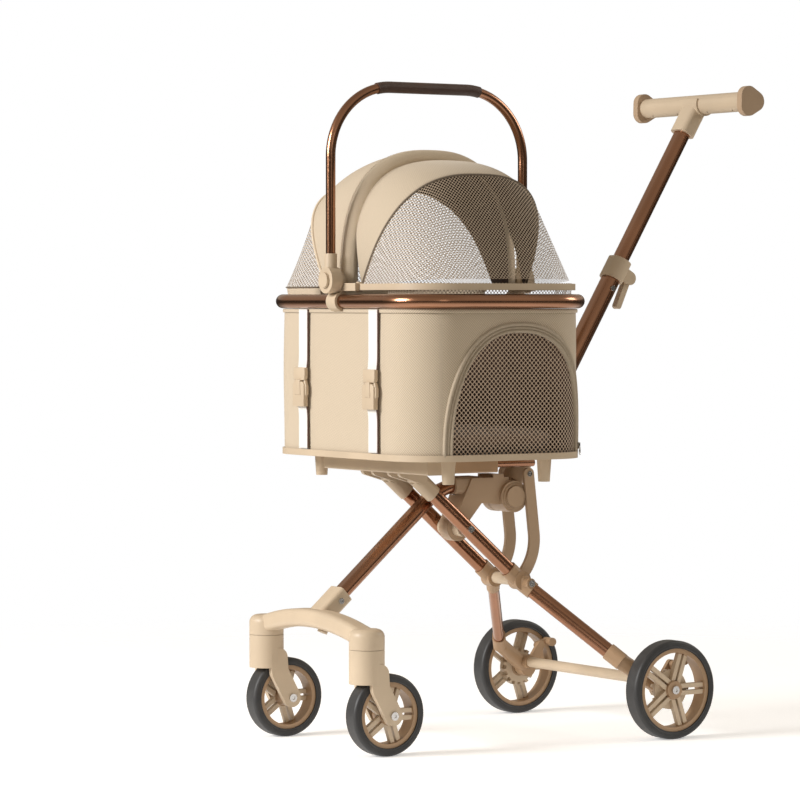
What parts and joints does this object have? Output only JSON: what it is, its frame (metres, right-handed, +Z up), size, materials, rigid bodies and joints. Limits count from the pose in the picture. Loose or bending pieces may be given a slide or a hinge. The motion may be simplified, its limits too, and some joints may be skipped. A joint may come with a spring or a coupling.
{
  "type": "pet stroller",
  "caption": "Folding pet stroller with a lift-off fabric carrier, mesh canopy, arch carry handle, telescopic T-bar push handle and swivel front wheels.",
  "frame": {"origin": "middle of the object's footprint, on the floor under the wheels", "axes": "+Z up, -Y towards the front wheels, +X to the pusher's left; X = 0 is the middle plane"},
  "size_m": [0.472, 0.7908, 1.0334],
  "materials": {
    "copper_tube": "rose-copper anodised tube, polished",
    "cream_plastic": "cream moulded plastic, satin",
    "taupe_plastic": "taupe moulded plastic, satin",
    "tan_plastic": "tan moulded plastic, satin",
    "tyre_rubber": "black foam rubber with a moulded skin",
    "steel_fastener": "bright screw and axle steel",
    "cream_fabric": "fine twill weave",
    "brown_mesh": "open knitted mesh",
    "webbing": "flat woven webbing",
    "brown_leather": "stitched dark brown leather wrap"
  },
  "bodies": {
    "frame": {"rear_legs": "copper_tube", "lower_legs": "copper_tube", "leg_heads": "cream_plastic", "leg_joints": "tan_plastic", "upper_cross_sleeve": "cream_plastic", "lower_cross_tube": "cream_plastic", "rear_cross_tube": "cream_plastic", "axle_brackets": "tan_plastic", "rear_axles": "steel_fastener", "curved_struts": "taupe_plastic", "frame_screws": "steel_fastener"},
    "rear_wheel_left": {"rear_tyre_left": "tyre_rubber", "rear_rim_left": "tan_plastic"},
    "rear_wheel_right": {"rear_tyre_right": "tyre_rubber", "rear_rim_right": "tan_plastic"},
    "brake_left": {"brake_lever_left": "tan_plastic"},
    "brake_right": {"brake_lever_right": "tan_plastic"},
    "front_frame": {"front_leg": "copper_tube", "front_crossbar": "cream_plastic", "main_casting": "taupe_plastic", "caster_pins": "steel_fastener", "front_screws": "steel_fastener"},
    "hub_button_left": {"hub_button_left": "taupe_plastic"},
    "hub_button_right": {"hub_button_right": "taupe_plastic"},
    "caster_left": {"caster_fork_left": "cream_plastic", "front_axle_left": "steel_fastener"},
    "caster_right": {"caster_fork_right": "cream_plastic", "front_axle_right": "steel_fastener"},
    "front_wheel_left": {"front_tyre_left": "tyre_rubber", "front_rim_left": "tan_plastic"},
    "front_wheel_right": {"front_tyre_right": "tyre_rubber", "front_rim_right": "tan_plastic"},
    "handle_lower": {"handle_knuckle": "taupe_plastic", "handle_outer_tube": "copper_tube", "handle_clamp": "cream_plastic"},
    "clamp_lever": {"clamp_lever": "cream_plastic"},
    "height_button": {"height_button": "steel_fastener"},
    "handle_upper": {"handle_inner_tube": "copper_tube", "tee_socket": "cream_plastic", "grip_upper_shell": "cream_plastic", "grip_lower_shell": "cream_plastic", "grip_end_caps": "taupe_plastic"},
    "platform": {"platform_beam": "cream_plastic", "platform_rails": "copper_tube", "platform_latches": "tan_plastic"},
    "carrier": {"carrier_base": "cream_plastic", "carrier_bag": "cream_fabric", "rim_tube": "copper_tube", "arch_clamps": "cream_plastic", "cushion": "cream_fabric", "straps": "webbing", "buckles": "tan_plastic", "canopy_hood": "cream_fabric"},
    "canopy_front": {"near_hood": "cream_fabric"},
    "canopy_band": {"canopy_band": "cream_plastic", "near_mesh": "brown_mesh"},
    "arch": {"arch_tube": "copper_tube", "arch_sockets": "cream_plastic", "arch_grip": "brown_leather"}
  },
  "joints": [
    {"name": "frame_fold", "type": "hinge", "parent": "frame", "child": "front_frame", "pos_m": [0, -0.1084, 0.32985], "axis": [1, 0, 0], "range_deg": [0, 60]},
    {"name": "platform_tilt", "type": "hinge", "parent": "frame", "child": "platform", "pos_m": [0, -0.20491, 0.413], "axis": [1, 0, 0], "range_deg": [0, 30]},
    {"name": "handle_fold", "type": "hinge", "parent": "front_frame", "child": "handle_lower", "pos_m": [0, -0.01291, 0.377], "axis": [1, 0, 0], "range_deg": [-90, 0]},
    {"name": "handle_slide", "type": "slide", "parent": "handle_lower", "child": "handle_upper", "axis": [0, 0.518, 0.8554], "range_m": [-0.22, 0]},
    {"name": "clamp_lever", "type": "hinge", "parent": "handle_lower", "child": "clamp_lever", "pos_m": [0, 0.22742, 0.72364], "axis": [1, 0, 0], "range_deg": [0, 100]},
    {"name": "height_button", "type": "slide", "parent": "handle_lower", "child": "height_button", "axis": [-1, 0, 0], "range_m": [0, 0.0015], "stiffness_N_per_m": 300, "springref_m": -0.002},
    {"name": "hub_button_left", "type": "slide", "parent": "front_frame", "child": "hub_button_left", "axis": [-1, 0, 0], "range_m": [0, 0.003], "stiffness_N_per_m": 400, "springref_m": -0.003},
    {"name": "hub_button_right", "type": "slide", "parent": "front_frame", "child": "hub_button_right", "axis": [1, 0, 0], "range_m": [0, 0.003], "stiffness_N_per_m": 400, "springref_m": -0.003},
    {"name": "brake_left", "type": "hinge", "parent": "frame", "child": "brake_left", "pos_m": [0, 0.18309, 0.1135], "axis": [1, 0, 0], "range_deg": [-8, 0]},
    {"name": "brake_right", "type": "hinge", "parent": "frame", "child": "brake_right", "pos_m": [0, 0.18309, 0.1135], "axis": [1, 0, 0], "range_deg": [-8, 0]},
    {"name": "carrier_lift", "type": "slide", "parent": "platform", "child": "carrier", "axis": [0, 0, 1], "range_m": [0, 0.12]},
    {"name": "arch_swing", "type": "hinge", "parent": "carrier", "child": "arch", "pos_m": [0, -0.15763, 0.719], "axis": [0, 1, 0], "range_deg": [-85, 85]},
    {"name": "canopy_open", "type": "hinge", "parent": "carrier", "child": "canopy_front", "pos_m": [0.046, -0.15763, 0.7085], "axis": [0, 1, 0], "range_deg": [-45, 0]},
    {"name": "band_lift", "type": "hinge", "parent": "canopy_front", "child": "canopy_band", "pos_m": [0.046, -0.15763, 0.7085], "axis": [0, 1, 0], "range_deg": [-45, 0], "deforming": ["near_mesh"]},
    {"name": "rear_wheel_left", "type": "hinge", "parent": "frame", "child": "rear_wheel_left", "pos_m": [0.2125, 0.15709, 0.0775], "axis": [1, 0, 0], "continuous": true},
    {"name": "caster_left", "type": "hinge", "parent": "front_frame", "child": "caster_left", "pos_m": [0.148, -0.36491, 0.163], "axis": [0, 0, 1], "continuous": true},
    {"name": "front_wheel_left", "type": "hinge", "parent": "caster_left", "child": "front_wheel_left", "pos_m": [0.148, -0.33291, 0.0625], "axis": [1, 0, 0], "continuous": true},
    {"name": "rear_wheel_right", "type": "hinge", "parent": "frame", "child": "rear_wheel_right", "pos_m": [-0.2125, 0.15709, 0.0775], "axis": [1, 0, 0], "continuous": true},
    {"name": "caster_right", "type": "hinge", "parent": "front_frame", "child": "caster_right", "pos_m": [-0.148, -0.36491, 0.163], "axis": [0, 0, 1], "continuous": true},
    {"name": "front_wheel_right", "type": "hinge", "parent": "caster_right", "child": "front_wheel_right", "pos_m": [-0.148, -0.33291, 0.0625], "axis": [1, 0, 0], "continuous": true}
  ],
  "couplings": [
    {"joint": "platform_tilt", "follows": "frame_fold", "ratio": 0.5},
    {"joint": "handle_fold", "follows": "frame_fold", "ratio": -1.5},
    {"joint": "band_lift", "follows": "canopy_open", "ratio": 1}
  ]
}
